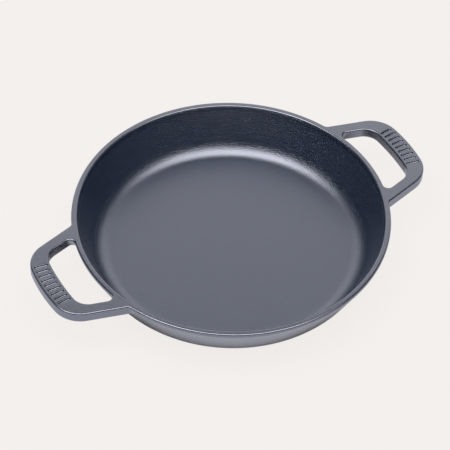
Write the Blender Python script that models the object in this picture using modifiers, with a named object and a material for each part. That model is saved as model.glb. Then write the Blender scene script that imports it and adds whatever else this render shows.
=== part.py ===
"""Shallow round cast iron pan with two loop handles and an enamel coat.

The pan stands on z = 0 with its centre over the origin, +Z is up and the two
handles lie along X. All sizes are in metres and all angles in radians.

Its pieces are the iron bowl, the two handles cast onto its wall, the matt coat
of the cooking surface, and the gloss coat that turns over the rim and runs
down the outside to the foot ring.
"""

import math

import bmesh
import bpy

# Rim and height of the finished, coated pan
RIM_RADIUS = 0.130
RIM_WIDTH = 0.0044
RIM_LAND = 0.003
RIM_OUTER_EDGE = 0.0012
RIM_INNER_EDGE = 0.0015
PAN_HEIGHT = 0.042

# Wall, floor and corners
WALL_TAPER = math.radians(24.3)
WALL_FOOT = 0.0041
INNER_CORNER = 0.016
OUTER_CORNER = 0.0171
LAND_BLEND = 0.004
FLOOR_THICKNESS = 0.0034

# Foot ring under the base
FOOT_HEIGHT = 0.0006
FOOT_WIDTH = 0.016
FOOT_SETBACK = 0.001
FOOT_EDGE = 0.0003

# Enamel, where its two coats meet, and the clearance between neighbours
COAT = 0.0004
LIP_DEPTH = 0.0026
GAP = 0.0003

# Loop handles, seen from above
HANDLE_REACH = 0.0416
HANDLE_THICKNESS = 0.0096
HANDLE_EDGE = 0.0015
GRIP_WIDTH = 0.0166
GRIP_OUTER_BOW = 0.148
GRIP_INNER_BOW = 0.216
ARM_SPREAD = 0.047
ARM_WIDTH = 0.010
ARM_ANGLE = math.radians(15.5)
OUTER_TURN = 0.025
INNER_TURN = 0.0138
OUTER_FILLET = 0.005
INNER_FILLET = 0.0045
ROOT_DEPTH = 0.012

# Row of plain grooves across the top of each grip
GROOVE_WIDTH = 0.0015
GROOVE_DEPTH = 0.0007
GROOVE_PITCH = 0.0036
GROOVE_ROW = 0.046
GROOVE_LAND = 0.0028

# Fineness of round shapes
TURNED_STEPS = 64
WIDE_ARC_STEP = math.radians(13.0)
SMALL_ARC_STEP = math.radians(31.0)
SMALL_RADIUS = 0.003
EDGE_STEPS = 1
SHARP_ANGLE = math.radians(40.0)

# How far a cutter runs past what it cuts, and how near points are welded
OVERRUN = 0.002
WELD_DISTANCE = 0.00001


def clear_scene():
    """Remove every object, and the collections that held them."""
    for item in list(bpy.data.objects):
        bpy.data.objects.remove(item, do_unlink=True)
    for group in list(bpy.data.collections):
        bpy.data.collections.remove(group)


def new_collection(name):
    """Return a new collection linked to the scene."""
    group = bpy.data.collections.new(name)
    bpy.context.scene.collection.children.link(group)
    return group


def make_material(name, colour, roughness, metallic, coat):
    """Return a Principled material."""
    material = bpy.data.materials.new(name)
    material.use_nodes = True
    shader = material.node_tree.nodes["Principled BSDF"]
    shader.inputs["Base Color"].default_value = (*colour, 1.0)
    shader.inputs["Roughness"].default_value = roughness
    shader.inputs["Metallic"].default_value = metallic
    shader.inputs["Coat Weight"].default_value = coat
    material.diffuse_color = (*colour, 1.0)
    return material


def unit(start, end):
    """Return the direction from one plane point to another."""
    length = math.dist(start, end)
    return (end[0] - start[0]) / length, (end[1] - start[1]) / length


def line_crossing(start, along, other_start, other_along):
    """Return the point where two lines in a plane cross."""
    cross = along[0] * other_along[1] - along[1] * other_along[0]
    across = other_start[0] - start[0]
    up = other_start[1] - start[1]
    reach = (across * other_along[1] - up * other_along[0]) / cross
    return start[0] + reach * along[0], start[1] + reach * along[1]


def arc(centre, radius, start, end):
    """Return points along an arc, both ends included."""
    step = SMALL_ARC_STEP if radius < SMALL_RADIUS else WIDE_ARC_STEP
    count = max(2, math.ceil(abs(end - start) / step))
    angles = [start + (end - start) * index / count for index in range(count + 1)]
    return [(centre[0] + radius * math.cos(angle), centre[1] + radius * math.sin(angle))
            for angle in angles]


def shifted(corners, distance):
    """Return a path of (r, z, fillet) corners moved to its right side.

    Each fillet shrinks on a right turn and grows on a left turn, so that the
    moved path stays parallel all the way.
    """
    edges = []
    for first, second in zip(corners, corners[1:]):
        along = unit(first[:2], second[:2])
        edges.append(((first[0] + distance * along[1], first[1] - distance * along[0]), along))
    moved = [(*edges[0][0], 0.0)]
    for (point, along), (next_point, next_along), corner in zip(edges, edges[1:], corners[1:]):
        turn = along[0] * next_along[1] - along[1] * next_along[0]
        fillet = max(corner[2] + math.copysign(distance, turn), 0.0)
        moved.append((*line_crossing(point, along, next_point, next_along), fillet))
    last, along = corners[-1], edges[-1][1]
    moved.append((last[0] + distance * along[1], last[1] - distance * along[0], 0.0))
    return moved


def rounded(corners):
    """Return the points of a path with its corners turned by their fillets."""
    points = [corners[0][:2]]
    for before, corner, after in zip(corners, corners[1:], corners[2:]):
        arriving = unit(before[:2], corner[:2])
        leaving = unit(corner[:2], after[:2])
        turn = math.atan2(arriving[0] * leaving[1] - arriving[1] * leaving[0],
                          arriving[0] * leaving[0] + arriving[1] * leaving[1])
        fillet = corner[2]
        if fillet == 0.0:
            points.append(corner[:2])
            continue
        side = math.copysign(1.0, turn)
        setback = fillet * math.tan(abs(turn) / 2)
        centre = (corner[0] - setback * arriving[0] - side * fillet * arriving[1],
                  corner[1] - setback * arriving[1] + side * fillet * arriving[0])
        start = math.atan2(-side * arriving[0], side * arriving[1])
        points += arc(centre, fillet, start, start + turn)
    points.append(corners[-1][:2])
    return points


def floor_top():
    """Return the height of the cooking surface."""
    return FOOT_HEIGHT + FLOOR_THICKNESS


def wall_radius(height):
    """Return the radius of the straight inside wall at a height."""
    return RIM_RADIUS - RIM_WIDTH - (PAN_HEIGHT - height) * math.tan(WALL_TAPER)


def outer_base():
    """Return the radius where the outside wall and the underside would cross."""
    land_z = PAN_HEIGHT - RIM_LAND
    foot_r = wall_radius(floor_top()) + WALL_FOOT
    slope = (RIM_RADIUS - foot_r) / (land_z - floor_top())
    return RIM_RADIUS - slope * (land_z - FOOT_HEIGHT)


def foot_radius():
    """Return the outer radius of the foot ring, inside the flat of the base."""
    land_z = PAN_HEIGHT - RIM_LAND
    wall_angle = math.atan2(land_z - FOOT_HEIGHT, RIM_RADIUS - outer_base())
    return outer_base() - OUTER_CORNER * math.tan(wall_angle / 2) - FOOT_SETBACK


def inside_corners():
    """Return the cooking surface from the floor's centre to the rim's top."""
    return [(0.0, floor_top(), 0.0),
            (wall_radius(floor_top()), floor_top(), INNER_CORNER),
            (wall_radius(PAN_HEIGHT), PAN_HEIGHT, 0.0)]


def outside_corners():
    """Return the rim's top, its upright land, the outside wall and the underside."""
    return [(wall_radius(PAN_HEIGHT), PAN_HEIGHT, RIM_INNER_EDGE),
            (RIM_RADIUS, PAN_HEIGHT, RIM_OUTER_EDGE),
            (RIM_RADIUS, PAN_HEIGHT - RIM_LAND, LAND_BLEND),
            (outer_base(), FOOT_HEIGHT, OUTER_CORNER),
            (foot_radius(), FOOT_HEIGHT, 0.0)]


def turned(name, points, closed, group):
    """Return a solid turned about Z from a profile in the XZ plane."""
    mesh = bpy.data.meshes.new(name)
    edges = [(index, index + 1) for index in range(len(points) - 1)]
    if closed:
        edges.append((len(points) - 1, 0))
    mesh.from_pydata([(r, 0.0, z) for r, z in points], edges, [])
    item = bpy.data.objects.new(name, mesh)
    group.objects.link(item)
    screw = item.modifiers.new("Turn", "SCREW")
    screw.axis = "Z"
    screw.steps = TURNED_STEPS
    screw.render_steps = TURNED_STEPS
    screw.use_merge_vertices = True
    screw.merge_threshold = WELD_DISTANCE
    screw.use_smooth_shade = True
    return item


def flat_piece(name, outlines, thickness, edge, grow, group):
    """Return flat solids centred on z = 0, one for each outline, in one object.

    Their edges are rounded, and their outlines are moved outwards by grow.
    """
    curve = bpy.data.curves.new(name, "CURVE")
    curve.dimensions = "2D"
    curve.fill_mode = "BOTH"
    curve.extrude = thickness / 2 - edge
    curve.bevel_depth = edge
    curve.bevel_resolution = EDGE_STEPS
    curve.offset = grow - edge
    for outline in outlines:
        spline = curve.splines.new("POLY")
        spline.points.add(len(outline) - 1)
        for point, (x, y) in zip(spline.points, outline):
            point.co = (x, y, 0.0, 1.0)
        spline.use_cyclic_u = True
    drawn = bpy.data.objects.new(name + "_outline", curve)
    group.objects.link(drawn)
    depsgraph = bpy.context.evaluated_depsgraph_get()
    mesh = bpy.data.meshes.new_from_object(drawn.evaluated_get(depsgraph))
    mesh.name = name
    shell = bmesh.new()
    shell.from_mesh(mesh)
    bmesh.ops.remove_doubles(shell, verts=shell.verts, dist=WELD_DISTANCE)
    bmesh.ops.recalc_face_normals(shell, faces=shell.faces)
    shell.to_mesh(mesh)
    shell.free()
    item = bpy.data.objects.new(name, mesh)
    item.matrix_world = drawn.matrix_world
    group.objects.link(item)
    bpy.data.objects.remove(drawn, do_unlink=True)
    return item


def as_cutter(item):
    """Mark an object as a cutter and return it."""
    item.hide_render = True
    item.display_type = "WIRE"
    return item


def cut(item, cutter):
    """Cut one object out of another."""
    boolean = item.modifiers.new("Cut " + cutter.name, "BOOLEAN")
    boolean.operation = "DIFFERENCE"
    boolean.solver = "MANIFOLD"
    boolean.object = cutter


def finish(item, material):
    """Give a piece its material and shade its round faces smooth."""
    item.data.materials.clear()
    item.data.materials.append(material)
    item.data.shade_smooth()
    item.data.set_sharp_from_angle(angle=SHARP_ANGLE)


def half_loop(tip, bow, arm_spread, turn, fillet, fillet_side):
    """Return half of one side of a handle, from the grip's middle to its root.

    It follows the grip's bow, the turn at its end, the straight arm, and the
    fillet that meets the rim. fillet_side is 1 where that fillet lies outside
    the loop and -1 where it lies in the finger hole.
    """
    lean = math.sin(ARM_ANGLE), math.cos(ARM_ANGLE)
    along = math.cos(ARM_ANGLE), -math.sin(ARM_ANGLE)

    def beside_arm(offset, centre_x, distance, end):
        """Return the point beside the arm that lies at a distance from a centre."""
        base = RIM_RADIUS + offset * lean[0] - centre_x, arm_spread + offset * lean[1]
        middle = base[0] * along[0] + base[1] * along[1]
        reach = -middle + end * math.sqrt(middle ** 2 - base[0] ** 2 - base[1] ** 2 + distance ** 2)
        return centre_x + base[0] + reach * along[0], base[1] + reach * along[1]

    bow_x = tip - bow
    turn_centre = beside_arm(-turn, bow_x, bow - turn, 1.0)
    turn_start = math.atan2(turn_centre[1], turn_centre[0] - bow_x)
    lean_angle = math.pi / 2 - ARM_ANGLE
    grip = arc((bow_x, 0.0), bow, 0.0, turn_start)
    bend = arc(turn_centre, turn, turn_start, lean_angle)
    root_centre = beside_arm(fillet_side * fillet, 0.0, RIM_RADIUS + fillet, 1.0)
    rim_angle = math.atan2(root_centre[1], root_centre[0])
    start = lean_angle - math.pi if fillet_side > 0.0 else lean_angle
    root = arc(root_centre, fillet, start, rim_angle - fillet_side * math.pi)
    inset = RIM_RADIUS - ROOT_DEPTH
    return grip + bend[1:] + root + [(inset * math.cos(rim_angle), inset * math.sin(rim_angle))]


def mirrored(points):
    """Return points mirrored over the X axis."""
    return [(x, -y) for x, y in points]


def handle_outline():
    """Return the outline of the handle at +X, a U whose arms run into the bowl."""
    tip = RIM_RADIUS + HANDLE_REACH
    inner_spread = ARM_SPREAD - ARM_WIDTH / math.cos(ARM_ANGLE)
    outer = half_loop(tip, GRIP_OUTER_BOW, ARM_SPREAD, OUTER_TURN, OUTER_FILLET, 1.0)
    inner = half_loop(tip - GRIP_WIDTH, GRIP_INNER_BOW, inner_spread, INNER_TURN, INNER_FILLET, -1.0)
    return mirrored(outer[::-1]) + outer[1:] + inner[::-1] + mirrored(inner[1:])


def groove_outlines():
    """Return the outlines of the round-ended grooves that fan across the grip at +X."""
    end_radius = GROOVE_WIDTH / 2
    run = GRIP_WIDTH / 2 - GROOVE_LAND - end_radius
    groove = arc((run, 0.0), end_radius, -math.pi / 2, math.pi / 2)
    groove += arc((-run, 0.0), end_radius, math.pi / 2, 3 * math.pi / 2)
    bow_x = RIM_RADIUS + HANDLE_REACH - GRIP_OUTER_BOW
    middle_radius = GRIP_OUTER_BOW - GRIP_WIDTH / 2
    side_count = math.floor(GROOVE_ROW / 2 / GROOVE_PITCH)
    outlines = []
    for index in range(-side_count, side_count + 1):
        angle = index * GROOVE_PITCH / middle_radius
        outlines.append([(bow_x + (middle_radius + x) * math.cos(angle) - y * math.sin(angle),
                          (middle_radius + x) * math.sin(angle) + y * math.cos(angle))
                         for x, y in groove])
    return outlines


def make_wall_plug(name, clearance, group):
    """Return a cutter that fills the bowl out to its iron wall and a clearance."""
    top_z = PAN_HEIGHT + OVERRUN
    wall = [(RIM_RADIUS, top_z, 0.0)] + outside_corners()[2:]
    outline = rounded(shifted(wall, COAT + GAP - clearance))
    points = [(0.0, top_z)] + outline + [(0.0, outline[-1][1])]
    return as_cutter(turned(name, points, False, group))


def make_handle(name, turn, root_plug, material, group, cutters):
    """Make a loop handle, trimmed to the bowl's wall and grooved across its grip."""
    handle = flat_piece(name, [handle_outline()], HANDLE_THICKNESS, HANDLE_EDGE, 0.0, group)
    handle.location.z = PAN_HEIGHT - HANDLE_THICKNESS / 2
    handle.rotation_euler.z = turn
    cut(handle, root_plug)
    height = GROOVE_DEPTH + OVERRUN
    grooves = flat_piece(name + "_grooves", groove_outlines(), height, 0.0, 0.0, cutters)
    grooves.location.z = PAN_HEIGHT - GROOVE_DEPTH + height / 2
    grooves.rotation_euler.z = turn
    cut(handle, as_cutter(grooves))
    finish(handle, material)


def make_notch(name, turn, notch_plug, cutters):
    """Return the cutter that clears a handle's arms through the gloss coat."""
    notch = flat_piece(name, [handle_outline()], HANDLE_THICKNESS + 2 * GAP, 0.0, GAP, cutters)
    notch.location.z = PAN_HEIGHT - HANDLE_THICKNESS / 2
    notch.rotation_euler.z = turn
    cut(as_cutter(notch), notch_plug)
    return notch


def make_iron_body(material, group):
    """Turn the iron bowl, with room for a coat on both of its faces."""
    coated = shifted(inside_corners()[:-1] + outside_corners(), COAT + GAP)
    foot_r = foot_radius()
    foot_inner_r = foot_r - FOOT_WIDTH
    foot = [(foot_r, coated[-1][1], 0.0),
            (foot_r, 0.0, FOOT_EDGE),
            (foot_inner_r, 0.0, 0.0),
            (foot_inner_r - FOOT_HEIGHT, FOOT_HEIGHT, 0.0),
            (0.0, FOOT_HEIGHT, 0.0)]
    finish(turned("iron_body", rounded(coated[:-1] + foot), False, group), material)


def make_inner_enamel(material, group):
    """Turn the matt coat of the floor and the inside wall."""
    top_z = PAN_HEIGHT - LIP_DEPTH - GAP
    face = inside_corners()[:-1] + [(wall_radius(top_z), top_z, 0.0)]
    points = rounded(face) + rounded(shifted(face, COAT))[::-1]
    finish(turned("inner_enamel", points, False, group), material)


def make_outer_enamel(material, group):
    """Turn the gloss coat from inside the rim, over its top, to the foot ring."""
    lip_z = PAN_HEIGHT - LIP_DEPTH
    end = (foot_radius() + GAP, FOOT_HEIGHT, 0.0)
    face = [(wall_radius(lip_z), lip_z, 0.0)] + outside_corners()[:-1] + [end]
    points = rounded(face) + rounded(shifted(face, COAT))[::-1]
    coat = turned("outer_enamel", points, True, group)
    finish(coat, material)
    return coat


def build():
    """Build the pan."""
    clear_scene()
    parts = new_collection("cast_iron_pan")
    cutters = new_collection("cutters")
    iron = make_material("iron", (0.035, 0.035, 0.04), 0.62, 0.6, 0.0)
    matt = make_material("matt_enamel", (0.14, 0.145, 0.175), 0.48, 0.0, 0.1)
    gloss = make_material("gloss_enamel", (0.16, 0.165, 0.195), 0.24, 0.0, 1.0)
    make_iron_body(iron, parts)
    make_inner_enamel(matt, parts)
    coat = make_outer_enamel(gloss, parts)

    root_plug = make_wall_plug("root_plug", GAP, cutters)
    notch_plug = make_wall_plug("notch_plug", 0.0, cutters)
    for name, turn in (("right_handle", 0.0), ("left_handle", math.pi)):
        make_handle(name, turn, root_plug, gloss, parts, cutters)
        cut(coat, make_notch(name + "_notch", turn, notch_plug, cutters))


build()
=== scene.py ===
import math

import bmesh
import bpy
from mathutils import Matrix, Vector


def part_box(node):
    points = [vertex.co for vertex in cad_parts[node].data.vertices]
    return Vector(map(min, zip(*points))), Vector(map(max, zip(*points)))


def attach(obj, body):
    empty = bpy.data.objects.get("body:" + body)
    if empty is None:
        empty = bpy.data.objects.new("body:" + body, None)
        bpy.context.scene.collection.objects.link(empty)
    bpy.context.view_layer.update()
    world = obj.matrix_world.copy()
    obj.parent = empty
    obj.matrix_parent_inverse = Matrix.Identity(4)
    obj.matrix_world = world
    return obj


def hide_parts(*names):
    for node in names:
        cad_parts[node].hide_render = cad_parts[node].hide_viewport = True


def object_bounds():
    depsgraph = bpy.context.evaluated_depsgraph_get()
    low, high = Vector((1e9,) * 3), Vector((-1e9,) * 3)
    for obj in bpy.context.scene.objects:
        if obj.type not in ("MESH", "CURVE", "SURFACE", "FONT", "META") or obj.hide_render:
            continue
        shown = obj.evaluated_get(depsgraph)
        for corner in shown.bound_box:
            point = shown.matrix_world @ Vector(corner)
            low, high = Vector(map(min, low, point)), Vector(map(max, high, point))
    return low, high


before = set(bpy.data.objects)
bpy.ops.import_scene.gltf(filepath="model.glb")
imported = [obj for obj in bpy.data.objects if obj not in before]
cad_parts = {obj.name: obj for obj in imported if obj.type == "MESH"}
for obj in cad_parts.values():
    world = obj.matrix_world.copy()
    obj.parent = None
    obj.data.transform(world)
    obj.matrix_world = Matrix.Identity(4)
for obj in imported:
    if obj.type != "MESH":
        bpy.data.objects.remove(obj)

bl_info = {
    "name": "Enamelled Cast Iron Pan",
    "version": (1, 0, 0),
    "blender": (4, 5, 0),
    "location": "3D View > Sidebar > Pan",
    "description": "Shallow two-handled cast iron pan with its enamel finishes, on a studio stage",
    "category": "Add Mesh",
}

# The box of the pan's solids, and of the pieces that sizes are read from
CAD_LOW, CAD_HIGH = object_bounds()
HANDLE_LOW, HANDLE_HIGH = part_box("right_handle")
COAT_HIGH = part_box("outer_enamel")[1]

# Fineness of the meshes, in metres, radians and counts. The flat border keeps the shading of a
# rounded edge off the flat beside it, and the row gap keeps the wall's rows clear of the edges.
WELD = 0.000001
FLAT_BORDER = 0.0004
ROW_GAP = 0.0003
WALL_STEP = 0.0015
FLOOR_STEP = 0.006
SHARP_ANGLE = math.radians(35.0)
EDGE_STEPS = 8
CORNER_STEPS = 20
GRIP_STEPS = 14
TURN_STEPS = 16
ARM_STEPS = 8
ROOT_STEPS = 12
RIM_STEPS = 48
HOLE_STEPS = 10
UNDER_ARM_STEPS = 7
GROOVE_EDGE_STEPS = 5
GROOVE_END_STEPS = 10

# Both enamels: how strongly they bend and mirror light
ENAMEL_IOR = 2.0
ENAMEL_SPECULAR = 1.0

# The turn that stands a noise's grid on a corner, so that no face of the pan lies along it
NOISE_TURN = (math.radians(54.74), 0.0, math.radians(45.0))

# Gloss enamel: cells a metre of its noises, and how deep its relief is in metres
GLOSS_CLOUD = 26.0
GLOSS_SPECK = 950.0
GLOSS_SWELL = 70.0
GLOSS_SWELL_DEPTH = 0.00012
GLOSS_RIPPLE = 420.0
GLOSS_RIPPLE_DEPTH = 0.00002

# Matt enamel: cells a metre of its noises, and how deep its relief is in metres
MATT_CLOUD = 18.0
MATT_SWELL = 90.0
MATT_SWELL_DEPTH = 0.00003
MATT_GRAIN = 1000.0
MATT_GRAIN_DEPTH = 0.0006

# Matt enamel, in metres up from the floor: where the grain deepens and where the wall gets smooth
GRAIN_START = 0.0001
GRAIN_FULL = 0.008
SMOOTH_START = 0.003
SMOOTH_FULL = 0.009

# Matt enamel, in metres down from the rim: where smoothness stops falling and the grain fades
SMOOTH_END = 0.004
FADE_START = 0.007
FADE_END = 0.002

# Bare iron: cells a metre of its noises, and how deep its relief is in metres
IRON_STAIN = 30.0
IRON_SAND = 700.0
IRON_SCRATCHES = 2600.0
IRON_RELIEF_DEPTH = 0.00008

# The camera: distance from the rim's centre, height angle, turn about the pan, roll, aim and lens
CAMERA_DISTANCE = 1.82927
CAMERA_ELEVATION = math.radians(46.658)
CAMERA_TURN = math.radians(31.064)
CAMERA_ROLL = math.radians(1.958)
CAMERA_AIM = (-0.011006, -0.009061)
CAMERA_LENS = 180.05

# The lamps, whose brightness StageLooks holds: how far they are from the pan, and for each its
# turn from the camera's side and its height angle in degrees, then its width and height in metres
LAMP_DISTANCE = 3.0
LAMPS = {
    "overhead": (0.0, 78.0, 4.3, 2.3),
    "back": (180.0, 28.0, 6.0, 2.8),
    "fill": (0.0, 5.5, 2.4, 0.5),
    "side": (70.0, 62.0, 1.6, 1.2),
}

# The floor: half its width, and the share of its colour that glows to the camera, while the rest
# takes the pan's shadow
FLOOR_HALF = 5.0
SEEN_GLOW = 0.95

# The floor as the pan mirrors it holds a painted shadow below the pan: how far that painted shadow lies
# off the pan's centre, and the width of its soft edge
SHADE_SHIFT = (0.0085, 0.0165, 0.0)
SHADE_EDGE = 0.007


class PanSizes(bpy.types.PropertyGroup):
    """Sizes of the bowl and its coats"""

    rim_radius: bpy.props.FloatProperty(
        name="Rim radius", description="Radius of the rim's outer face",
        default=COAT_HIGH[1], unit="LENGTH", precision=4)
    height: bpy.props.FloatProperty(
        name="Height", description="Height of the rim above the table",
        default=CAD_HIGH[2], unit="LENGTH", precision=4)
    rim_width: bpy.props.FloatProperty(
        name="Rim width", description="Width of the rim at its top, with its edges",
        default=0.0044, unit="LENGTH", precision=4)
    rim_land: bpy.props.FloatProperty(
        name="Rim land", description="Height of the upright band below the rim's top",
        default=0.003, unit="LENGTH", precision=4)
    land_blend: bpy.props.FloatProperty(
        name="Land blend", description="Radius between the upright band and the outside wall",
        default=0.004, unit="LENGTH", precision=4)
    outer_edge: bpy.props.FloatProperty(
        name="Outer edge", description="Radius of the top edge of the rim and the handles",
        default=0.0013, unit="LENGTH", precision=4)
    inner_edge: bpy.props.FloatProperty(
        name="Inner edge", description="Radius of the rim's edge over the bowl",
        default=0.0015, unit="LENGTH", precision=4)
    wall_taper: bpy.props.FloatProperty(
        name="Wall taper", description="Lean of the inside wall from upright",
        default=math.radians(24.3), subtype="ANGLE")
    wall_foot: bpy.props.FloatProperty(
        name="Wall foot", description="Width of the wall at the height of the floor",
        default=0.0041, unit="LENGTH", precision=4)
    floor_height: bpy.props.FloatProperty(
        name="Floor height", description="Height of the cooking surface above the table",
        default=0.004, unit="LENGTH", precision=4)
    inner_corner: bpy.props.FloatProperty(
        name="Inner corner", description="Radius between the floor and the inside wall",
        default=0.016, unit="LENGTH", precision=4)
    outer_corner: bpy.props.FloatProperty(
        name="Outer corner", description="Radius between the outside wall and the base",
        default=0.0171, unit="LENGTH", precision=4)
    foot_height: bpy.props.FloatProperty(
        name="Foot height", description="How far the foot ring stands below the base",
        default=0.0006, unit="LENGTH", precision=5)
    foot_width: bpy.props.FloatProperty(
        name="Foot width", description="Width of the foot ring",
        default=0.016, unit="LENGTH", precision=4)
    foot_setback: bpy.props.FloatProperty(
        name="Foot setback", description="Flat of the base outside the foot ring",
        default=0.001, unit="LENGTH", precision=4)
    foot_edge: bpy.props.FloatProperty(
        name="Foot edge", description="Radius of the foot ring's edges",
        default=0.0003, unit="LENGTH", precision=5)
    coat: bpy.props.FloatProperty(
        name="Coat", description="Thickness of the enamel",
        default=0.0004, unit="LENGTH", precision=5)
    gap: bpy.props.FloatProperty(
        name="Gap", description="Clearance between the coats and the iron",
        default=0.0003, unit="LENGTH", precision=5)
    lip_depth: bpy.props.FloatProperty(
        name="Lip depth", description="How far the gloss coat turns down inside the rim",
        default=0.0011, unit="LENGTH", precision=4)
    tuck: bpy.props.FloatProperty(
        name="Tuck", description="How far the matt coat runs up behind the gloss coat's lip",
        default=0.0003, unit="LENGTH", precision=5)
    segments: bpy.props.IntProperty(
        name="Segments", description="Facets round a turned piece", default=256, min=32)


class HandleSizes(bpy.types.PropertyGroup):
    """Sizes of the loop handles, seen from above"""

    tip: bpy.props.FloatProperty(
        name="Tip", description="Distance from the pan's centre to the grip's outer face",
        default=HANDLE_HIGH[0], unit="LENGTH", precision=4)
    thickness: bpy.props.FloatProperty(
        name="Thickness", description="Height of the handle's section",
        default=HANDLE_HIGH[2] - HANDLE_LOW[2], unit="LENGTH", precision=4)
    under_edge: bpy.props.FloatProperty(
        name="Under edge", description="Radius of the handle's lower edges",
        default=0.0019, unit="LENGTH", precision=4)
    grip_width: bpy.props.FloatProperty(
        name="Grip width", description="Width of the grip at its middle",
        default=0.0166, unit="LENGTH", precision=4)
    outer_bow: bpy.props.FloatProperty(
        name="Outer bow", description="Radius of the grip's outer face",
        default=0.148, unit="LENGTH", precision=4)
    inner_bow: bpy.props.FloatProperty(
        name="Inner bow", description="Radius of the grip's inner face",
        default=0.216, unit="LENGTH", precision=4)
    arm_spread: bpy.props.FloatProperty(
        name="Arm spread", description="Half the distance over both arms at the rim",
        default=0.047, unit="LENGTH", precision=4)
    arm_width: bpy.props.FloatProperty(
        name="Arm width", description="Width of an arm",
        default=0.010, unit="LENGTH", precision=4)
    arm_angle: bpy.props.FloatProperty(
        name="Arm angle", description="How far an arm leans in towards the grip",
        default=math.radians(15.5), subtype="ANGLE")
    outer_turn: bpy.props.FloatProperty(
        name="Outer turn", description="Radius of the outer face between arm and grip",
        default=0.025, unit="LENGTH", precision=4)
    inner_turn: bpy.props.FloatProperty(
        name="Inner turn", description="Radius of the finger hole between arm and grip",
        default=0.0138, unit="LENGTH", precision=4)
    outer_fillet: bpy.props.FloatProperty(
        name="Outer fillet", description="Radius between an arm's outer face and the rim",
        default=0.005, unit="LENGTH", precision=4)
    inner_fillet: bpy.props.FloatProperty(
        name="Inner fillet", description="Radius between an arm's inner face and the rim",
        default=0.0045, unit="LENGTH", precision=4)


class GrooveSizes(bpy.types.PropertyGroup):
    """Sizes of the plain grooves across the grips"""

    count: bpy.props.IntProperty(
        name="Count", description="Grooves across each grip", default=9, min=1)
    pitch: bpy.props.FloatProperty(
        name="Pitch", description="Distance between two grooves along the grip",
        default=0.0052, unit="LENGTH", precision=4)
    width: bpy.props.FloatProperty(
        name="Width", description="Width of a groove between its side walls",
        default=0.0024, unit="LENGTH", precision=4)
    depth: bpy.props.FloatProperty(
        name="Depth", description="Depth of a groove",
        default=0.0015, unit="LENGTH", precision=4)
    land: bpy.props.FloatProperty(
        name="Land", description="Width that a groove leaves plain at each side of the grip",
        default=0.0028, unit="LENGTH", precision=4)
    lip: bpy.props.FloatProperty(
        name="Lip", description="Radius of a groove's edges",
        default=0.0004, unit="LENGTH", precision=4)
    bottom: bpy.props.FloatProperty(
        name="Bottom", description="Radius between a groove's side walls and its bottom",
        default=0.0009, unit="LENGTH", precision=4)


class FinishLooks(bpy.types.PropertyGroup):
    """Colours of the finishes"""

    gloss_colour: bpy.props.FloatVectorProperty(
        name="Gloss enamel", description="Colour of the rim, the outside and the handles",
        default=(0.02, 0.024, 0.04), subtype="COLOR", min=0.0, max=1.0)
    matt_colour: bpy.props.FloatVectorProperty(
        name="Matt enamel", description="Colour of the cooking surface",
        default=(0.0005, 0.005, 0.014), subtype="COLOR", min=0.0, max=1.0)
    sheen_colour: bpy.props.FloatVectorProperty(
        name="Sheen", description="Tint of what both enamels reflect",
        default=(0.86, 0.88, 1.0), subtype="COLOR", min=0.0, max=1.0)
    iron_colour: bpy.props.FloatVectorProperty(
        name="Bare iron", description="Colour of the foot ring and the base",
        default=(0.05, 0.05, 0.054), subtype="COLOR", min=0.0, max=1.0)


class StageLooks(bpy.types.PropertyGroup):
    """The studio round the pan"""

    backdrop_colour: bpy.props.FloatVectorProperty(
        name="Backdrop", description="Colour of the floor and the room as the camera sees them",
        default=(0.896, 0.863, 0.838), subtype="COLOR", min=0.0, max=1.0)
    mirrored_colour: bpy.props.FloatVectorProperty(
        name="Mirrored floor", description="Colour of the floor as the pan mirrors it",
        default=(0.92, 0.94, 1.0), subtype="COLOR", min=0.0, max=1.0)
    overhead_light: bpy.props.FloatProperty(
        name="Overhead light", description="Brightness of the softbox over the pan, where 1 is white",
        default=3.8, min=0.0)
    back_light: bpy.props.FloatProperty(
        name="Back light", description="Brightness of the panel behind the pan, where 1 is white",
        default=1.0, min=0.0)
    fill_light: bpy.props.FloatProperty(
        name="Fill light", description="Brightness of the panel on the camera's side, where 1 is white",
        default=0.6, min=0.0)
    side_light: bpy.props.FloatProperty(
        name="Side light", description="Brightness of the high panel on the left, where 1 is white",
        default=1.8, min=0.0)
    room_light: bpy.props.FloatProperty(
        name="Room light", description="Brightness of the room, where 1 is white",
        default=0.015, min=0.0)


def wall_radius(sizes, height):
    """Return the radius of the straight inside wall at a height."""
    return sizes.rim_radius - sizes.rim_width - (sizes.height - height) * math.tan(sizes.wall_taper)


def base_radius(sizes):
    """Return the radius where the outside wall and the base would cross."""
    land_z = sizes.height - sizes.rim_land
    foot_of_wall = wall_radius(sizes, sizes.floor_height) + sizes.wall_foot
    slope = (sizes.rim_radius - foot_of_wall) / (land_z - sizes.floor_height)
    return sizes.rim_radius - slope * (land_z - sizes.foot_height)


def foot_radius(sizes):
    """Return the outer radius of the foot ring."""
    rise = sizes.height - sizes.rim_land - sizes.foot_height
    wall_angle = math.atan2(rise, sizes.rim_radius - base_radius(sizes))
    return base_radius(sizes) - sizes.outer_corner * math.tan(wall_angle / 2) - sizes.foot_setback


def inside_corners(sizes, top_z):
    """Return the corners (r, z, fillet) of the cooking surface up to a height."""
    floor_z = sizes.floor_height
    return [(0.0, floor_z, 0.0),
            (wall_radius(sizes, floor_z), floor_z, sizes.inner_corner),
            (wall_radius(sizes, top_z), top_z, 0.0)]


def outside_corners(sizes):
    """Return the corners of the rim's land, the outside wall and the base."""
    return [(sizes.rim_radius, sizes.height, sizes.outer_edge),
            (sizes.rim_radius, sizes.height - sizes.rim_land, sizes.land_blend),
            (base_radius(sizes), sizes.foot_height, sizes.outer_corner),
            (foot_radius(sizes) + sizes.gap, sizes.foot_height, 0.0)]


def right_of(along):
    """Return the direction to the right of a direction in a plane."""
    return Vector((along.y, -along.x))


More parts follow.
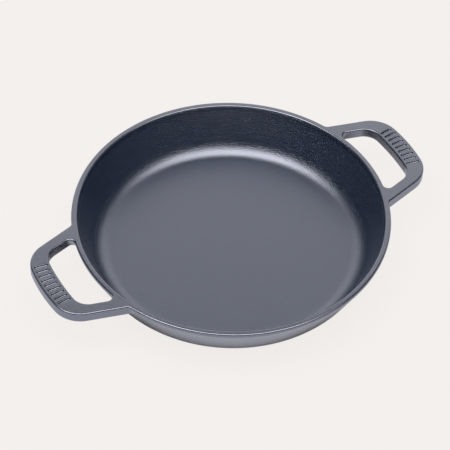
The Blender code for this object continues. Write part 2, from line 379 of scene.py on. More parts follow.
def shifted(corners, distance):
    """Return a path of (r, z, fillet) corners moved to its right side."""
    edges = []
    for first, second in zip(corners, corners[1:]):
        along = (Vector(second[:2]) - Vector(first[:2])).normalized()
        edges.append((Vector(first[:2]) + distance * right_of(along), along))
    moved = [(*edges[0][0], 0.0)]
    for (point, along), (next_point, next_along), corner in zip(edges, edges[1:], corners[1:]):
        turn = along.cross(next_along)
        reach = (next_point - point).cross(next_along) / turn
        fillet = max(corner[2] + math.copysign(distance, turn), 0.0)
        moved.append((*(point + reach * along), fillet))
    moved.append((*(Vector(corners[-1][:2]) + distance * right_of(edges[-1][1])), 0.0))
    return moved


def arc(centre, radius, start, end, count):
    """Return count + 1 points along an arc."""
    angles = [start + (end - start) * index / count for index in range(count + 1)]
    return [Vector((centre[0] + radius * math.cos(angle), centre[1] + radius * math.sin(angle)))
            for angle in angles]


def rounded(corners, steps):
    """Return the points of a path with its corners turned by their fillets."""
    points = [Vector(corners[0][:2])]
    for before, corner, after in zip(corners, corners[1:], corners[2:]):
        place = Vector(corner[:2])
        if corner[2] == 0.0:
            points.append(place)
            continue
        arriving = (place - Vector(before[:2])).normalized()
        leaving = (Vector(after[:2]) - place).normalized()
        turn = math.atan2(arriving.cross(leaving), arriving.dot(leaving))
        start = place - corner[2] * math.tan(abs(turn) / 2) * arriving
        centre = start - math.copysign(corner[2], turn) * right_of(arriving)
        angle = math.atan2(start.y - centre.y, start.x - centre.x)
        points += arc(centre, corner[2], angle, angle + turn, steps)
    points.append(Vector(corners[-1][:2]))
    return points


def spread_out(points, longest):
    """Return a path with its long runs cut into shorter ones."""
    result = [points[0]]
    for first, second in zip(points, points[1:]):
        count = max(1, math.ceil((second - first).length / longest))
        result += [first.lerp(second, (index + 1) / count) for index in range(count)]
    return result


def radius_at(path, height):
    """Return the radius of a falling (r, z) path at a height."""
    for first, second in zip(path, path[1:]):
        if first.y >= height >= second.y and first.y > second.y:
            return first.x + (second.x - first.x) * (first.y - height) / (first.y - second.y)
    raise ValueError("the path doesn't reach this height")


def half_loop(sizes, handle, inset, wall_r, inner):
    """Return half of a side of the right handle, from the grip's middle to the wall.

    It follows the grip's bow, the turn at its end, the straight arm, and the
    fillet that meets a wall of radius wall_r. inset moves the side into the
    handle, and inner picks the side of the finger hole.
    """
    lean = Vector((math.sin(handle.arm_angle), math.cos(handle.arm_angle)))
    along = right_of(lean)
    if inner:
        tip, bow, turn = handle.tip - handle.grip_width, handle.inner_bow, handle.inner_turn
        spread = handle.arm_spread - handle.arm_width / lean.y
        grow, side, fillet = inset, -1.0, handle.inner_fillet + inset
    else:
        tip, bow, turn = handle.tip, handle.outer_bow, handle.outer_turn
        spread = handle.arm_spread
        grow, side, fillet = -inset, 1.0, handle.outer_fillet + inset
    tip += grow
    bow += grow
    turn += grow
    on_arm = Vector((sizes.rim_radius, spread + grow / lean.y))

    def beside_arm(offset, centre_x, distance):
        """Return the point beside the arm that lies at a distance from a centre."""
        base = on_arm + offset * lean - Vector((centre_x, 0.0))
        middle = base.dot(along)
        reach = -middle + math.sqrt(middle ** 2 - base.length_squared + distance ** 2)
        return base + reach * along + Vector((centre_x, 0.0))

    bow_x = tip - bow
    turn_centre = beside_arm(-turn, bow_x, bow - turn)
    turn_start = math.atan2(turn_centre.y, turn_centre.x - bow_x)
    lean_angle = math.pi / 2 - handle.arm_angle
    fillet_centre = beside_arm(side * fillet, 0.0, wall_r + fillet)
    wall_angle = math.atan2(fillet_centre.y, fillet_centre.x)
    fillet_start = lean_angle if inner else lean_angle - math.pi
    grip = arc((bow_x, 0.0), bow, 0.0, turn_start, GRIP_STEPS)
    bend = arc(turn_centre, turn, turn_start, lean_angle, TURN_STEPS)
    root = arc(fillet_centre, fillet, fillet_start, wall_angle - side * math.pi, ROOT_STEPS)
    arm = [bend[-1].lerp(root[0], index / ARM_STEPS) for index in range(1, ARM_STEPS)]
    return grip + bend[1:] + arm + root


def outer_loop(sizes, handle, inset, wall_r):
    """Return the outline of the rim and both handles, anticlockwise."""
    quarter = half_loop(sizes, handle, inset, wall_r, False)
    start = math.atan2(quarter[-1].y, quarter[-1].x)
    quarter += arc((0.0, 0.0), wall_r, start, math.pi / 2, RIM_STEPS)[1:]
    half = quarter + [Vector((-point.x, point.y)) for point in quarter[-2::-1]]
    return half + [-point for point in half[1:-1]]


def hole_loop(sizes, handle, inset, wall_r):
    """Return the outline of the right finger hole, anticlockwise."""
    half = half_loop(sizes, handle, inset, wall_r, True)
    start = math.atan2(half[-1].y, half[-1].x)
    half += arc((0.0, 0.0), wall_r, start, 0.0, HOLE_STEPS)[1:]
    return half + [Vector((point.x, -point.y)) for point in half[-2:0:-1]]


def outside_wall(sizes):
    """Return the path from the rim's top down the outside to the end of the gloss coat."""
    corners = [(sizes.rim_radius - 2 * sizes.outer_edge, sizes.height, 0.0)]
    return spread_out(rounded(corners + outside_corners(sizes), CORNER_STEPS), WALL_STEP)


def side_levels(sizes, handle):
    """Return the levels of the sides of rim and handles, from the top down.

    Each holds its height, how far the handles' sides stand in there, the
    wall's radius, and how near the level is to the middle of a rounded edge.
    """
    top, edge, under_edge = sizes.height, sizes.outer_edge, handle.under_edge
    under = top - handle.thickness
    wall = outside_wall(sizes)
    levels = [(top, edge + FLAT_BORDER, sizes.rim_radius - edge - FLAT_BORDER, 0.0)]
    angles = [math.pi / 2 * step / EDGE_STEPS for step in range(EDGE_STEPS + 1)]
    for angle in angles:
        inset = edge - edge * math.sin(angle)
        height = top - edge + edge * math.cos(angle)
        levels.append((height, inset, sizes.rim_radius - inset, math.sin(2 * angle)))
    levels += [(point.y, 0.0, point.x, 0.0) for point in wall
               if under + under_edge + ROW_GAP < point.y < top - edge - ROW_GAP]
    for angle in angles:
        height = under + under_edge - under_edge * math.sin(angle)
        inset = under_edge - under_edge * math.cos(angle)
        levels.append((height, inset, radius_at(wall, height), math.sin(2 * angle)))
    return levels


def add_loop(shell, points, height, edge=0.0):
    """Add the vertices of a level loop, marked with how near to an edge they lie."""
    layer = shell.verts.layers.float["edge"]
    vertices = [shell.verts.new((point[0], point[1], height)) for point in points]
    for vertex in vertices:
        vertex[layer] = edge
    return vertices


def bridge_all(shell, loops):
    """Join each closed loop to the next, of equal length, with quads."""
    for upper, lower in zip(loops, loops[1:]):
        for index, vertex in enumerate(upper):
            face = shell.faces.new((upper[index - 1], lower[index - 1], lower[index], vertex))
            face.smooth = True


def fill_level(shell, height):
    """Fill the open loops at one height with flat faces."""
    edges = [edge for edge in shell.edges
             if edge.is_boundary and all(abs(vertex.co.z - height) < WELD for vertex in edge.verts)]
    filled = bmesh.ops.triangle_fill(shell, edges=edges, normal=(0.0, 0.0, 1.0))
    for part in filled["geom"]:
        if isinstance(part, bmesh.types.BMFace):
            part.smooth = False


def add_handle_sides(shell, sizes, handle):
    """Add the sides of rim and handles, and return the wall's ring below the handles."""
    levels = side_levels(sizes, handle)
    outlines, right_holes, left_holes = [], [], []
    for height, inset, wall_r, edge in levels:
        hole = hole_loop(sizes, handle, inset, wall_r)
        outlines.append(add_loop(shell, outer_loop(sizes, handle, inset, wall_r), height, edge))
        right_holes.append(add_loop(shell, hole, height, edge))
        left_holes.append(add_loop(shell, [-point for point in hole], height, edge))
    for loops in (outlines, right_holes, left_holes):
        bridge_all(shell, loops)
    under, inset, wall_r, edge = levels[-1]
    lowest = outlines[-1] + right_holes[-1] + left_holes[-1]
    ring = [vertex for vertex in lowest if abs(vertex.co.xy.length - wall_r) < WELD]
    hole_end = half_loop(sizes, handle, inset, wall_r, True)[-1]
    arm_end = half_loop(sizes, handle, inset, wall_r, False)[-1]
    start = math.atan2(hole_end.y, hole_end.x)
    end = math.atan2(arm_end.y, arm_end.x)
    under_arm = arc((0.0, 0.0), wall_r, start, end, UNDER_ARM_STEPS)[1:-1]
    for sign_x in (1.0, -1.0):
        for sign_y in (1.0, -1.0):
            arm = [(sign_x * point.x, sign_y * point.y) for point in under_arm]
            ring += add_loop(shell, arm, under, edge)
    return sorted(ring, key=lambda vertex: math.atan2(vertex.co.y, vertex.co.x))


def coat_profile(sizes, top_z):
    """Return the path of the gloss coat's section, from a height on the outside wall.

    It runs down the outside, back up behind the coat, round the lip inside the rim, and over
    the rim's inner edge to the flat top.
    """
    lip_z = sizes.height - sizes.lip_depth
    lip = (wall_radius(sizes, lip_z), lip_z, 0.0)
    brow = (wall_radius(sizes, sizes.height), sizes.height, sizes.inner_edge)
    outside = [point for point in outside_wall(sizes) if point.y < top_z - ROW_GAP]
    behind = rounded(shifted([lip, brow] + outside_corners(sizes), sizes.coat), CORNER_STEPS // 2)
    over_rim = rounded([lip, brow, (sizes.rim_radius, sizes.height, 0.0)], EDGE_STEPS)
    over_rim[-1].x = over_rim[-2].x + FLAT_BORDER
    return outside + spread_out(behind, WALL_STEP)[::-1] + over_rim


def casting_mesh(sizes, handle, groove, material):
    """Return the gloss coat with the rim, the outside and both handles, as one closed mesh."""
    shell = bmesh.new()
    shell.verts.layers.float.new("edge")
    ring = add_handle_sides(shell, sizes, handle)
    headings = [vertex.co.xy.normalized() for vertex in ring]
    under = ring[0].co.z
    loops = [ring]
    for point in coat_profile(sizes, under):
        loops.append(add_loop(shell, [point.x * heading for heading in headings], point.y))
    bridge_all(shell, loops)
    lining = groove_lining(sizes, handle, groove, material)
    shell.from_mesh(lining)
    bpy.data.meshes.remove(lining)
    fill_level(shell, sizes.height)
    fill_level(shell, under)
    bmesh.ops.remove_doubles(shell, verts=shell.verts, dist=WELD)
    bmesh.ops.recalc_face_normals(shell, faces=shell.faces)
    mesh = bpy.data.meshes.new("enamelled_casting")
    shell.to_mesh(mesh)
    shell.free()
    mesh.materials.clear()
    mesh.materials.append(material)
    mesh.set_sharp_from_angle(angle=SHARP_ANGLE)
    return mesh


def linked(name, mesh):
    """Return a new object in the scene."""
    item = bpy.data.objects.new(name, mesh)
    bpy.context.scene.collection.objects.link(item)
    return item


def new_tree(name, inputs):
    """Return a geometry node tree with named inputs, and its input node's outputs."""
    tree = bpy.data.node_groups.new(name, "GeometryNodeTree")
    tree.interface.new_socket("Geometry", in_out="INPUT", socket_type="NodeSocketGeometry")
    tree.interface.new_socket("Geometry", in_out="OUTPUT", socket_type="NodeSocketGeometry")
    for label, kind in inputs.items():
        tree.interface.new_socket(label, in_out="INPUT", socket_type="NodeSocket" + kind)
    return tree, tree.nodes.new("NodeGroupInput").outputs


def add_node(tree, kind, values=None, **settings):
    """Add a node, make its settings, and give its inputs their values or links."""
    node = tree.nodes.new(kind)
    for label, value in settings.items():
        setattr(node, label, value)
    for key, value in (values or {}).items():
        if isinstance(value, bpy.types.NodeSocket):
            tree.links.new(value, node.inputs[key])
        else:
            node.inputs[key].default_value = value
    return node


def maths(tree, operation, *values):
    """Add a Math node and return its output."""
    return add_node(tree, "ShaderNodeMath", dict(enumerate(values)), operation=operation).outputs[0]


def end_tree(tree, geometry, material):
    """End a tree in Realize Instances and Set Material."""
    real = add_node(tree, "GeometryNodeRealizeInstances", {"Geometry": geometry})
    finished = add_node(tree, "GeometryNodeSetMaterial",
                        {"Geometry": real.outputs[0], "Material": material})
    add_node(tree, "NodeGroupOutput", {"Geometry": finished.outputs[0]})


def run_tree(item, tree, values):
    """Run a tree on an object, keep the result as its mesh and take the tree off."""
    modifier = item.modifiers.new(tree.name, "NODES")
    modifier.node_group = tree
    for socket in tree.interface.items_tree:
        if socket.in_out == "INPUT" and socket.name in values:
            modifier[socket.identifier] = values[socket.name]
    depsgraph = bpy.context.evaluated_depsgraph_get()
    mesh = bpy.data.meshes.new_from_object(item.evaluated_get(depsgraph))
    old = item.data
    item.modifiers.clear()
    item.data = mesh
    mesh.name = item.name
    bpy.data.meshes.remove(old)


def turning_tree():
    """Return the tree that turns a profile in the XZ plane about Z."""
    tree, given = new_tree("Turned Shell", {
        "Segments": "Int", "Weld": "Float", "Material": "Material"})
    size = add_node(tree, "GeometryNodeAttributeDomainSize", {"Geometry": given["Geometry"]})
    count = size.outputs["Point Count"]
    columns = maths(tree, "ADD", given["Segments"], 1.0)
    grid = add_node(tree, "GeometryNodeMeshGrid", {"Vertices X": columns, "Vertices Y": count})
    index = tree.nodes.new("GeometryNodeInputIndex").outputs[0]
    column = maths(tree, "FLOOR", maths(tree, "DIVIDE", maths(tree, "ADD", index, 0.5), count))
    row = maths(tree, "SUBTRACT", index, maths(tree, "MULTIPLY", column, count))
    place = tree.nodes.new("GeometryNodeInputPosition").outputs[0]
    spot = add_node(tree, "GeometryNodeSampleIndex",
                    {"Geometry": given["Geometry"], "Index": row}, data_type="FLOAT_VECTOR")
    tree.links.new(place, spot.inputs["Value"])
    profile = add_node(tree, "ShaderNodeSeparateXYZ", {"Vector": spot.outputs["Value"]}).outputs
    turn = maths(tree, "DIVIDE", maths(tree, "MULTIPLY", column, 2 * math.pi), given["Segments"])
    turned = add_node(tree, "ShaderNodeCombineXYZ", {
        "X": maths(tree, "MULTIPLY", profile["X"], maths(tree, "COSINE", turn)),
        "Y": maths(tree, "MULTIPLY", profile["X"], maths(tree, "SINE", turn)),
        "Z": profile["Z"]})
    moved = add_node(tree, "GeometryNodeSetPosition",
                     {"Geometry": grid.outputs["Mesh"], "Position": turned.outputs[0]})
    welded = add_node(tree, "GeometryNodeMergeByDistance",
                      {"Geometry": moved.outputs[0], "Distance": given["Weld"]})
    smooth = add_node(tree, "GeometryNodeSetShadeSmooth", {"Geometry": welded.outputs[0]})
    end_tree(tree, smooth.outputs[0], given["Material"])
    return tree


def turned_piece(name, points, segments, material):
    """Return a closed piece turned about Z from a profile that starts and ends on the axis."""
    mesh = bpy.data.meshes.new(name)
    mesh.from_pydata([(point.x, 0.0, point.y) for point in points], [], [])
    item = linked(name, mesh)
    run_tree(item, turning_tree(), {"Segments": segments, "Weld": WELD, "Material": material})
    shell = bmesh.new()
    shell.from_mesh(item.data)
    bmesh.ops.recalc_face_normals(shell, faces=shell.faces)
    shell.to_mesh(item.data)
    shell.free()
    item.data.set_sharp_from_angle(angle=SHARP_ANGLE)
    return item


def groove_tree():
    """Return the tree that sets grooves side by side along both grips."""
    tree, given = new_tree("Grip Grooves", {
        "Groove": "Object", "Count": "Int", "Pitch": "Float", "Bow radius": "Float",
        "Bow centre": "Float", "Height": "Float", "Material": "Material"})
    row = add_node(tree, "GeometryNodeMeshLine", {"Count": given["Count"]})
    index = tree.nodes.new("GeometryNodeInputIndex").outputs[0]
    middle = maths(tree, "DIVIDE", maths(tree, "SUBTRACT", given["Count"], 1.0), 2.0)
    along = maths(tree, "MULTIPLY", maths(tree, "SUBTRACT", index, middle), given["Pitch"])
    angle = maths(tree, "DIVIDE", along, given["Bow radius"])
    across = maths(tree, "MULTIPLY", given["Bow radius"], maths(tree, "COSINE", angle))
    place = add_node(tree, "ShaderNodeCombineXYZ", {
        "X": maths(tree, "ADD", across, given["Bow centre"]),
        "Y": maths(tree, "MULTIPLY", given["Bow radius"], maths(tree, "SINE", angle)),
        "Z": given["Height"]})
    moved = add_node(tree, "GeometryNodeSetPosition",
                     {"Geometry": row.outputs[0], "Position": place.outputs[0]})
    facing = add_node(tree, "ShaderNodeCombineXYZ", {"Z": angle})
    groove = add_node(tree, "GeometryNodeObjectInfo", {"Object": given["Groove"]})
    right = add_node(tree, "GeometryNodeInstanceOnPoints", {
        "Points": moved.outputs[0], "Instance": groove.outputs["Geometry"],
        "Rotation": facing.outputs[0]})
    left = add_node(tree, "GeometryNodeTransform",
                    {"Geometry": right.outputs[0], "Rotation": (0.0, 0.0, math.pi)})
    both = tree.nodes.new("GeometryNodeJoinGeometry")
    tree.links.new(right.outputs[0], both.inputs[0])
    tree.links.new(left.outputs[0], both.inputs[0])
    end_tree(tree, both.outputs[0], given["Material"])
    return tree


def single_groove(handle, groove):
    """Return the lining of one groove round the origin, open at the top."""
    half_width = groove.width / 2
    run = handle.grip_width / 2 - groove.land - half_width
    profile = arc((half_width + groove.lip, -groove.lip), groove.lip,
                  math.pi / 2, math.pi, GROOVE_EDGE_STEPS)
    profile += arc((half_width - groove.bottom, groove.bottom - groove.depth), groove.bottom,
                   0.0, -math.pi / 2, GROOVE_EDGE_STEPS)
    shell = bmesh.new()
    shell.verts.layers.float.new("edge")
    loops = []
    for spot in profile:
        outline = arc((run, 0.0), spot.x, -math.pi / 2, math.pi / 2, GROOVE_END_STEPS)
        outline += arc((-run, 0.0), spot.x, math.pi / 2, 1.5 * math.pi, GROOVE_END_STEPS)
        loops.append(add_loop(shell, outline, spot.y))
    bridge_all(shell, loops)
    shell.faces.new(loops[-1]).smooth = True
    mesh = bpy.data.meshes.new("groove")
    shell.to_mesh(mesh)
    shell.free()
    return linked("groove", mesh)


def groove_lining(sizes, handle, groove, material):
    """Return the mesh of all the grooves' linings, where they lie on the grips."""
    single = single_groove(handle, groove)
    row = linked("grooves", bpy.data.meshes.new("grooves"))
    run_tree(row, groove_tree(), {
        "Groove": single, "Count": groove.count, "Pitch": groove.pitch, "Height": sizes.height,
        "Bow radius": handle.outer_bow - handle.grip_width / 2,
        "Bow centre": handle.tip - handle.outer_bow, "Material": material})
    mesh = row.data
    bpy.data.objects.remove(row, do_unlink=True)
    single_mesh = single.data
    bpy.data.objects.remove(single, do_unlink=True)
    bpy.data.meshes.remove(single_mesh)
    return mesh


def new_material(name):
    """Return a material, its node tree and its shader."""
    material = bpy.data.materials.new(name)
    material.use_nodes = True
    tree = material.node_tree
    return material, tree, tree.nodes["Principled BSDF"]


def new_enamel(name, looks):
    """Return an enamel, its node tree and its shader, with the sheen that both enamels have."""
    material, tree, shader = new_material(name)
    shader.inputs["IOR"].default_value = ENAMEL_IOR
    shader.inputs["Specular IOR Level"].default_value = ENAMEL_SPECULAR
    shader.inputs["Specular Tint"].default_value = (*looks.sheen_colour, 1.0)
    return material, tree, shader


def scatter(tree, scale, detail=2.0):
    """Return the value of a noise on the piece's own coordinates, turned off their axes."""
    coordinates = tree.nodes.new("ShaderNodeTexCoord").outputs["Object"]
    turned = add_node(tree, "ShaderNodeVectorRotate", {
        "Vector": coordinates, "Rotation": NOISE_TURN}, rotation_type="EULER_XYZ").outputs[0]
    return add_node(tree, "ShaderNodeTexNoise", {
        "Vector": turned, "Scale": scale, "Detail": detail}).outputs[0]


def ranged(tree, value, low, high, to_low, to_high):
    """Return a value moved from one range into another, held at its ends."""
    return add_node(tree, "ShaderNodeMapRange", {
        "Value": value, "From Min": low, "From Max": high,
        "To Min": to_low, "To Max": to_high}).outputs[0]


def shaded(tree, factor, first, second):
    """Return a mix of two colours."""
    mix = add_node(tree, "ShaderNodeMix", {0: factor, 6: first, 7: second}, data_type="RGBA")
    return mix.outputs[2]


def length_of(tree, vector):
    """Return the length of a vector."""
    measure = add_node(tree, "ShaderNodeVectorMath", {0: vector}, operation="LENGTH")
    return measure.outputs["Value"]


def tinted(colour, factor):
    """Return a colour with alpha, made lighter or darker."""
    return (*(channel * factor for channel in colour), 1.0)


def relief(tree, layers):
    """Return a normal with bumps from pairs of a height value and a depth in metres."""
    normal = None
    for height, depth in layers:
        values = {"Height": height, "Distance": depth}
        if normal is not None:
            values["Normal"] = normal
        normal = add_node(tree, "ShaderNodeBump", values).outputs[0]
    return normal


def gloss_enamel(looks):
    """Return the smooth enamel of rim, outside and handles, thinner on rounded edges."""
    material, tree, shader = new_enamel("gloss_enamel", looks)
    cloud = scatter(tree, GLOSS_CLOUD, 3.0)
    speck = scatter(tree, GLOSS_SPECK, 1.0)
    edge = add_node(tree, "ShaderNodeAttribute", attribute_name="edge").outputs["Fac"]
    body = shaded(tree, cloud, tinted(looks.gloss_colour, 0.88), tinted(looks.gloss_colour, 1.12))
    flecks = ranged(tree, speck, 0.58, 0.72, 0.0, 0.35)
    flecked = shaded(tree, flecks, body, tinted(looks.gloss_colour, 1.7))
    thinning = maths(tree, "MULTIPLY", edge, 0.35)
    thinned = shaded(tree, thinning, flecked, tinted(looks.gloss_colour, 0.6))
    tree.links.new(thinned, shader.inputs["Base Color"])
    tree.links.new(ranged(tree, cloud, 0.3, 0.7, 0.2, 0.28), shader.inputs["Roughness"])
    normal = relief(tree, ((scatter(tree, GLOSS_SWELL), GLOSS_SWELL_DEPTH),
                           (scatter(tree, GLOSS_RIPPLE), GLOSS_RIPPLE_DEPTH)))
    tree.links.new(normal, shader.inputs["Normal"])
    return material


def matt_enamel(looks, sizes):
    """Return the grained enamel of the cooking surface.

    The grain is shallow on the floor, deep on the wall and faint under the rim. The wall is
    smoother than the floor, most of all at its foot.
    """
    material, tree, shader = new_enamel("matt_enamel", looks)
    cloud = scatter(tree, MATT_CLOUD, 3.0)
    grain = scatter(tree, MATT_GRAIN)
    body = shaded(tree, cloud, tinted(looks.matt_colour, 0.9), tinted(looks.matt_colour, 1.1))
    peaks = ranged(tree, grain, 0.4, 0.65, 0.0, 1.0)
    grained = shaded(tree, peaks, body, tinted(looks.matt_colour, 3.0))
    tree.links.new(grained, shader.inputs["Base Color"])
    coordinates = tree.nodes.new("ShaderNodeTexCoord").outputs["Object"]
    height = add_node(tree, "ShaderNodeSeparateXYZ", {"Vector": coordinates}).outputs["Z"]
    floor_z, rim_z = sizes.floor_height, sizes.height
    polish = ranged(tree, height, floor_z + SMOOTH_START, floor_z + SMOOTH_FULL, 0.0, 0.15)
    kept_share = ranged(tree, height, floor_z + SMOOTH_FULL, rim_z - SMOOTH_END, 1.0, 0.5)
    smoothness = maths(tree, "MULTIPLY", kept_share, polish)
    roughness = maths(tree, "SUBTRACT", ranged(tree, cloud, 0.3, 0.7, 0.31, 0.35), smoothness)
    tree.links.new(roughness, shader.inputs["Roughness"])
    above_floor = ranged(tree, height, floor_z + GRAIN_START, floor_z + GRAIN_FULL, 0.2, 1.0)
    below_rim = ranged(tree, height, rim_z - FADE_START, rim_z - FADE_END, 1.0, 0.3)
    strength = maths(tree, "MULTIPLY", above_floor, below_rim)
    bumps = maths(tree, "MULTIPLY", maths(tree, "SUBTRACT", grain, 0.5), strength)
    normal = relief(tree, ((scatter(tree, MATT_SWELL), MATT_SWELL_DEPTH), (bumps, MATT_GRAIN_DEPTH)))
    tree.links.new(normal, shader.inputs["Normal"])
    return material


def bare_iron(looks, sizes):
    """Return the iron of the base: ground on the foot ring, as cast elsewhere."""
    material, tree, shader = new_material("bare_iron")
    shader.inputs["Metallic"].default_value = 0.6
    coordinates = tree.nodes.new("ShaderNodeTexCoord").outputs["Object"]
    parts = add_node(tree, "ShaderNodeSeparateXYZ", {"Vector": coordinates}).outputs
    ground = ranged(tree, parts["Z"], 0.0, sizes.foot_height / 2, 1.0, 0.0)
    level = add_node(tree, "ShaderNodeCombineXYZ", {"X": parts["X"], "Y": parts["Y"]}).outputs[0]
    ring_place = add_node(tree, "ShaderNodeCombineXYZ", {"X": length_of(tree, level)})
    scratches = add_node(tree, "ShaderNodeTexNoise", {
        "Vector": ring_place.outputs[0], "Scale": IRON_SCRATCHES, "Detail": 3.0}).outputs[0]
    sand = scatter(tree, IRON_SAND, 3.0)
    stain = scatter(tree, IRON_STAIN, 3.0)
    cast = shaded(tree, stain, tinted(looks.iron_colour, 0.7), tinted(looks.iron_colour, 1.3))
    bright = shaded(tree, scratches, tinted(looks.iron_colour, 1.6), tinted(looks.iron_colour, 3.4))
    tree.links.new(shaded(tree, ground, cast, bright), shader.inputs["Base Color"])
    tree.links.new(ranged(tree, ground, 0.0, 1.0, 0.68, 0.42), shader.inputs["Roughness"])
    height = add_node(tree, "ShaderNodeMix", {0: ground, 2: sand, 3: scratches}, data_type="FLOAT")
    normal = relief(tree, ((height.outputs[0], IRON_RELIEF_DEPTH),))
    tree.links.new(normal, shader.inputs["Normal"])
    return material


def stage_floor(looks, rim_r):
    """Return the floor's material: plain to the camera, with the pan's soft shadow.

    As the pan mirrors it, it glows all round but not below the pan. That is a painted shadow, where the
    plain floor with its real shadow shows instead. The painted shadow lies a little behind the pan's
    centre, as the light comes from over its near side.
    """
    material = bpy.data.materials.new("pale_floor")
    material.use_nodes = True
    tree = material.node_tree
    tree.nodes.clear()
    path = tree.nodes.new("ShaderNodeLightPath").outputs
    mirrored = maths(tree, "MAXIMUM", path["Is Glossy Ray"], path["Is Transmission Ray"])
    place = tree.nodes.new("ShaderNodeTexCoord").outputs["Object"]
    offset = add_node(tree, "ShaderNodeVectorMath", {0: place, 1: SHADE_SHIFT}, operation="SUBTRACT")
    reach = length_of(tree, offset.outputs[0])
    # Painted shadow: the glow that the pan mirrors fades out in a disc below the pan
    outside_painted_shadow = ranged(tree, reach, rim_r, rim_r + SHADE_EDGE, 0.0, 1.0)
    seen_share = maths(tree, "MULTIPLY", path["Is Camera Ray"], SEEN_GLOW)
    glow_share = maths(tree, "MAXIMUM", seen_share, maths(tree, "MULTIPLY", mirrored, outside_painted_shadow))
    colour = (*looks.backdrop_colour, 1.0)
    seen_colour = shaded(tree, path["Is Camera Ray"], (*looks.mirrored_colour, 1.0), colour)
    glow = add_node(tree, "ShaderNodeEmission", {"Color": seen_colour, "Strength": 1.0})
    matt = add_node(tree, "ShaderNodeBsdfDiffuse", {"Color": colour})
    mixed = add_node(tree, "ShaderNodeMixShader", {
        0: glow_share, 1: matt.outputs[0], 2: glow.outputs[0]})
    add_node(tree, "ShaderNodeOutputMaterial", {"Surface": mixed.outputs[0]})
    return material


def make_world(looks):
    """Light the room evenly, and show the backdrop's colour to the camera."""
    world = bpy.data.worlds.new("room")
    world.use_nodes = True
    tree = world.node_tree
    tree.nodes.clear()
    path = tree.nodes.new("ShaderNodeLightPath").outputs
    colour = (*looks.backdrop_colour, 1.0)
    room = add_node(tree, "ShaderNodeBackground", {"Color": colour, "Strength": looks.room_light})
    seen = add_node(tree, "ShaderNodeBackground", {"Color": colour, "Strength": 1.0})
    mixed = add_node(tree, "ShaderNodeMixShader",
                     {0: path["Is Camera Ray"], 1: room.outputs[0], 2: seen.outputs[0]})
    add_node(tree, "ShaderNodeOutputWorld", {"Surface": mixed.outputs[0]})
    bpy.context.scene.world = world


def looking_at(place, target):
    """Return the matrix of a camera or a lamp at a place that faces a target."""
    ahead = (target - place).normalized()
    right = ahead.cross(Vector((0.0, 0.0, 1.0)))
    if right.length < WELD:
        right = Vector((1.0, 0.0, 0.0))
    right.normalize()
    turned = Matrix((right, right.cross(ahead), -ahead)).transposed().to_4x4()
    turned.translation = place
    return turned


def direction(turn, elevation):
    """Return the unit vector at an angle about the pan, from the camera's side, and a height angle."""
    angle = CAMERA_TURN + turn
    level = math.cos(elevation)
    return Vector((-math.sin(angle) * level, -math.cos(angle) * level, math.sin(elevation)))


def make_camera(height):
    """Make the camera at the photograph's angle."""
    data = bpy.data.cameras.new("camera")
    data.lens = CAMERA_LENS
    camera = linked("camera", data)
    place = Vector((0.0, 0.0, height)) + CAMERA_DISTANCE * direction(0.0, CAMERA_ELEVATION)
    aimed = looking_at(place, Vector((*CAMERA_AIM, height)))
    camera.matrix_world = aimed @ Matrix.Rotation(CAMERA_ROLL, 4, "Z")
    bpy.context.scene.camera = camera


def soft_panel(name, turn, elevation, width, height, brightness):
    """Add a panel lamp that faces the pan, with its angles in degrees."""
    data = bpy.data.lights.new(name, "AREA")
    data.shape = "RECTANGLE"
    data.size = width
    data.size_y = height
    data.energy = brightness * math.pi * width * height
    lamp = linked(name, data)
    place = LAMP_DISTANCE * direction(math.radians(turn), math.radians(elevation))
    lamp.matrix_world = looking_at(place, Vector((0.0, 0.0, 0.0)))
    lamp.visible_camera = False


class PAN_OT_enamelled_casting(bpy.types.Operator):
    """Make the gloss coat of rim and outside with both loop handles"""

    bl_idname = "pan.enamelled_casting"
    bl_label = "Enamelled Casting"

    def execute(self, context):
        scene = context.scene
        material = gloss_enamel(scene.finish_looks)
        mesh = casting_mesh(scene.pan_sizes, scene.handle_sizes, scene.groove_sizes, material)
        piece = linked("enamelled_casting", mesh)
        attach(piece, "root")
        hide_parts("outer_enamel", "right_handle", "left_handle")
        return {"FINISHED"}


class PAN_OT_cooking_surface(bpy.types.Operator):
    """Make the matt coat of the floor and the inside wall"""

    bl_idname = "pan.cooking_surface"
    bl_label = "Cooking Surface"

    def execute(self, context):
        sizes = context.scene.pan_sizes
        corners = inside_corners(sizes, sizes.height - sizes.lip_depth)
        face = spread_out(rounded(corners, CORNER_STEPS), FLOOR_STEP)
        back = spread_out(rounded(shifted(corners, sizes.coat), CORNER_STEPS), FLOOR_STEP)
        upward = (face[-1] - face[-2]).normalized()
        behind_lip = face[-1] + sizes.tuck * upward + sizes.coat / 2 * right_of(upward)
        material = matt_enamel(context.scene.finish_looks, sizes)
        profile = face + [behind_lip] + back[::-1]
        piece = turned_piece("cooking_surface", profile, sizes.segments, material)
        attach(piece, "root")
        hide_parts("inner_enamel")
        return {"FINISHED"}


class PAN_OT_iron_base(bpy.types.Operator):
    """Make the iron bowl under the coats, with its foot ring"""

    bl_idname = "pan.iron_base"
    bl_label = "Iron Base"

    def execute(self, context):
        sizes = context.scene.pan_sizes
        corners = inside_corners(sizes, sizes.height)[:-1]
        corners.append((wall_radius(sizes, sizes.height), sizes.height, sizes.inner_edge))
        coated = shifted(corners + outside_corners(sizes), sizes.coat + sizes.gap)
        outer_r = foot_radius(sizes)
        inner_r = outer_r - sizes.foot_width
        foot = [(outer_r, coated[-1][1], 0.0),
                (outer_r, 0.0, sizes.foot_edge),
                (inner_r, 0.0, sizes.foot_edge),
                (inner_r - sizes.foot_height, sizes.foot_height, sizes.foot_edge),
                (0.0, sizes.foot_height, 0.0)]
        points = spread_out(rounded(coated[:-1] + foot, EDGE_STEPS), FLOOR_STEP)
        material = bare_iron(context.scene.finish_looks, sizes)
        piece = turned_piece("iron_base", points, sizes.segments, material)
        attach(piece, "root")
        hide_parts("iron_body")
        return {"FINISHED"}


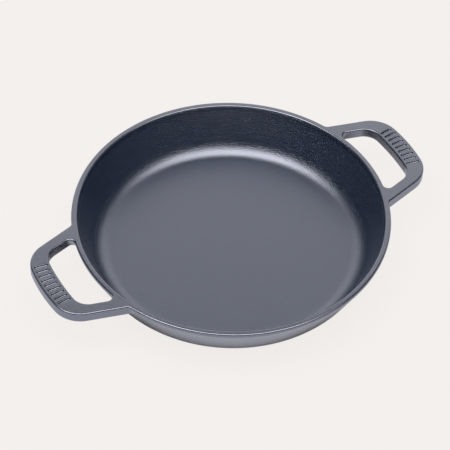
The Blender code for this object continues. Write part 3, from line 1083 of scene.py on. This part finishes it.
class PAN_OT_stage(bpy.types.Operator):
    """Set up the floor, the lamps, the room's light and the camera"""

    bl_idname = "pan.stage"
    bl_label = "Stage"

    def execute(self, context):
        looks, sizes = context.scene.stage_looks, context.scene.pan_sizes
        mesh = bpy.data.meshes.new("floor")
        corners = [(x * FLOOR_HALF, y * FLOOR_HALF, 0.0)
                   for x, y in ((-1, -1), (1, -1), (1, 1), (-1, 1))]
        mesh.from_pydata(corners, [], [(0, 1, 2, 3)])
        mesh.materials.append(stage_floor(looks, sizes.rim_radius))
        linked("floor", mesh)
        for name, place in LAMPS.items():
            soft_panel(name, *place, getattr(looks, name + "_light"))
        make_world(looks)
        make_camera(sizes.height)
        context.scene.view_settings.view_transform = "Standard"
        return {"FINISHED"}


class VIEW3D_PT_pan(bpy.types.Panel):
    """List the pan's sizes, its finishes and the steps that make it"""

    bl_label = "Cast Iron Pan"
    bl_space_type = "VIEW_3D"
    bl_region_type = "UI"
    bl_category = "Pan"

    def draw(self, context):
        for name in SETTINGS:
            group = getattr(context.scene, name)
            box = self.layout.box()
            for label in group.bl_rna.properties.keys():
                if label not in ("name", "rna_type"):
                    box.prop(group, label)
        for operator in OPERATORS:
            self.layout.operator(operator.bl_idname)


SETTINGS = {"pan_sizes": PanSizes, "handle_sizes": HandleSizes, "groove_sizes": GrooveSizes,
            "finish_looks": FinishLooks, "stage_looks": StageLooks}
OPERATORS = (PAN_OT_enamelled_casting, PAN_OT_cooking_surface, PAN_OT_iron_base, PAN_OT_stage)
CLASSES = (*SETTINGS.values(), *OPERATORS, VIEW3D_PT_pan)


def register():
    """Register the classes and hang their settings on the scene."""
    for kind in CLASSES:
        bpy.utils.register_class(kind)
    for name, kind in SETTINGS.items():
        setattr(bpy.types.Scene, name, bpy.props.PointerProperty(type=kind))


def unregister():
    """Take the settings off the scene and unregister the classes."""
    for name in SETTINGS:
        delattr(bpy.types.Scene, name)
    for kind in reversed(CLASSES):
        bpy.utils.unregister_class(kind)


def main():
    """Make the pan and its stage."""
    register()
    bpy.ops.pan.enamelled_casting()
    bpy.ops.pan.cooking_surface()
    bpy.ops.pan.iron_base()
    bpy.ops.pan.stage()


if __name__ == "__main__":
    main()
